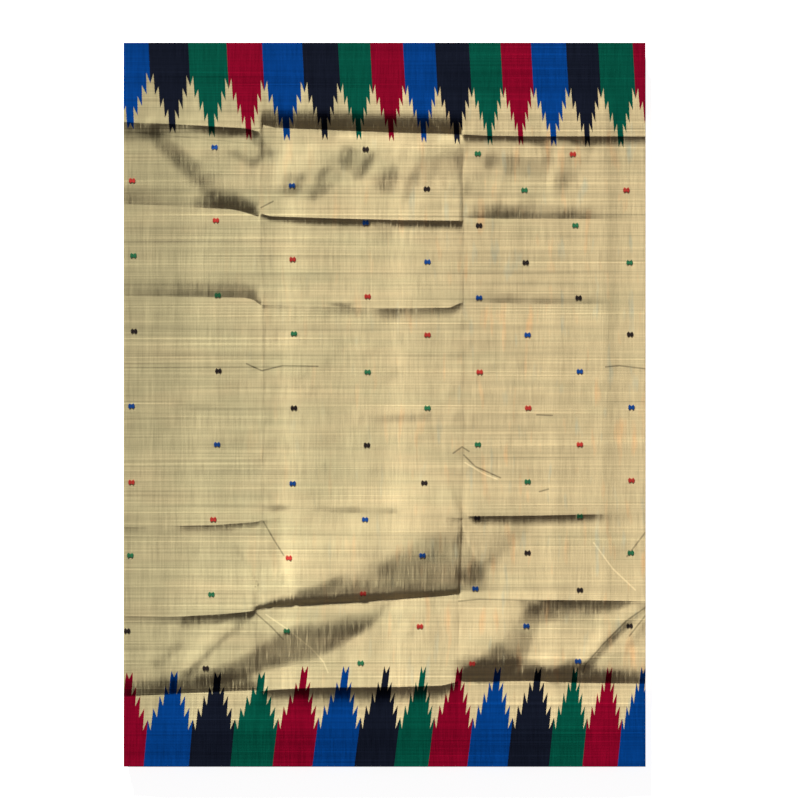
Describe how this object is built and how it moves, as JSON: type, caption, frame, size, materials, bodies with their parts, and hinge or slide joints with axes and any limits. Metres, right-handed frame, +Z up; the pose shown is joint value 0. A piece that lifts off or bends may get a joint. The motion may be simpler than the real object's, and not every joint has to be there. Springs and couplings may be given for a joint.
{
  "type": "folded saree",
  "caption": "Handloom tussar silk saree folded in layers and laid flat, with temple borders of solid colour blocks and small woven spots.",
  "frame": {"origin": "middle of the flat underside that the folded cloth rests on", "axes": "+X along the length of the cloth, from fold edge to fold edge; +Y across its width, towards the upper border; +Z up, out of the top layer"},
  "size_m": [0.8288, 1.15, 0.0223],
  "materials": {
    "silk_beige": "satin",
    "silk_folded": "satin",
    "silk_blue": "satin",
    "silk_black": "satin",
    "silk_green": "satin",
    "silk_red": "satin"
  },
  "bodies": {
    "root": {"field": "silk_beige", "folded_layers": "silk_folded", "lower_border_01_red": "silk_red", "lower_border_02_blue": "silk_blue", "lower_border_03_black": "silk_black", "lower_border_04_green": "silk_green", "lower_border_05_red": "silk_red", "lower_border_06_blue": "silk_blue", "lower_border_07_black": "silk_black", "lower_border_08_green": "silk_green", "lower_border_09_red": "silk_red", "lower_border_10_blue": "silk_blue", "lower_border_11_black": "silk_black", "lower_border_12_green": "silk_green", "lower_border_13_red": "silk_red", "lower_border_14_blue": "silk_blue", "upper_border_01_blue": "silk_blue", "upper_border_02_black": "silk_black", "upper_border_03_green": "silk_green", "upper_border_04_red": "silk_red", "upper_border_05_blue": "silk_blue", "upper_border_06_black": "silk_black", "upper_border_07_green": "silk_green", "upper_border_08_red": "silk_red", "upper_border_09_blue": "silk_blue", "upper_border_10_black": "silk_black", "upper_border_11_green": "silk_green", "upper_border_12_red": "silk_red", "upper_border_13_blue": "silk_blue", "upper_border_14_black": "silk_black", "upper_border_15_green": "silk_green", "upper_border_16_red": "silk_red"}
  },
  "joints": []
}
